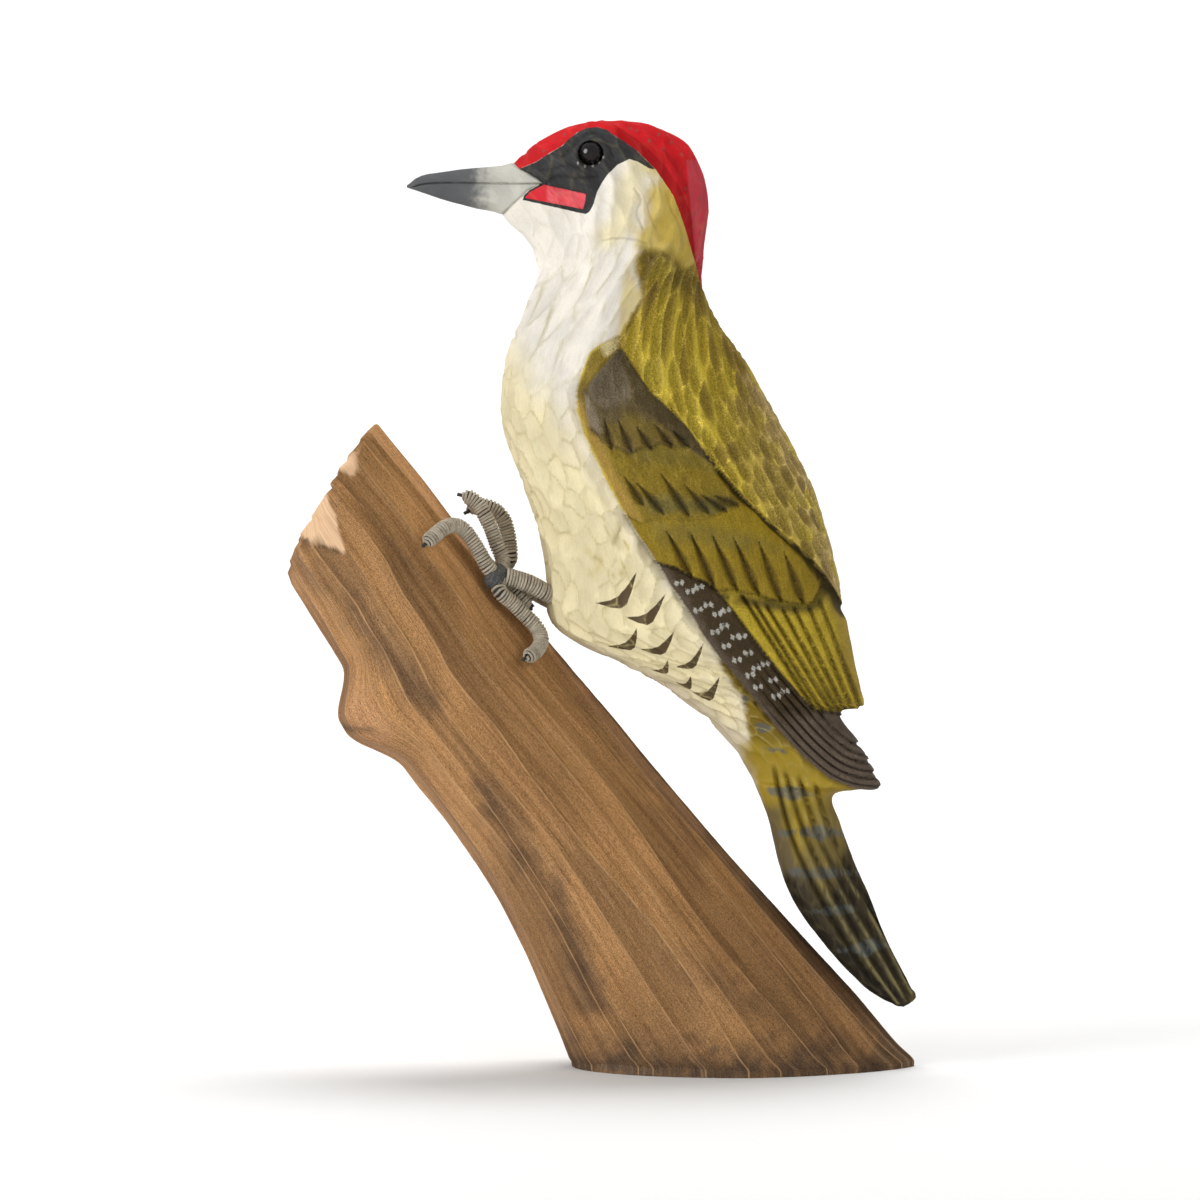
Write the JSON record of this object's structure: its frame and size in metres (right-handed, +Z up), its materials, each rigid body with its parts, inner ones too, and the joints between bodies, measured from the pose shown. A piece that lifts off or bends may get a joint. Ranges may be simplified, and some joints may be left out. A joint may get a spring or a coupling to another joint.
{
  "type": "woodpecker carving",
  "caption": "Hand-carved painted wooden green woodpecker with glass eyes and thread-wound wire feet, gripping a leaning carved log that stands on its flat underside.",
  "frame": {"origin": "middle of the log's flat underside, on the surface that the carving stands on", "axes": "+Z up, -X towards the bird's beak, -Y towards its left flank"},
  "size_m": [0.2103, 0.075, 0.3158],
  "materials": {
    "painted_wood": "thin brushed paint over knife-cut wood, satin",
    "log_wood": "stained knife-cut wood, satin",
    "eye_glass": "black glass, highly polished",
    "thread": "grey cotton thread wound tightly on wire",
    "putty": "dark grey modelling putty, satin"
  },
  "bodies": {
    "root": {"bird": "painted_wood", "log": "log_wood", "left_eye": "eye_glass", "right_eye": "eye_glass", "left_foot_joint": "putty", "left_leg": "thread", "left_outer_front_toe": "thread", "left_inner_front_toe": "thread", "left_outer_back_toe": "thread", "left_inner_back_toe": "thread", "right_foot_joint": "putty", "right_leg": "thread", "right_outer_front_toe": "thread", "right_inner_front_toe": "thread", "right_outer_back_toe": "thread", "right_inner_back_toe": "thread"}
  },
  "joints": []
}
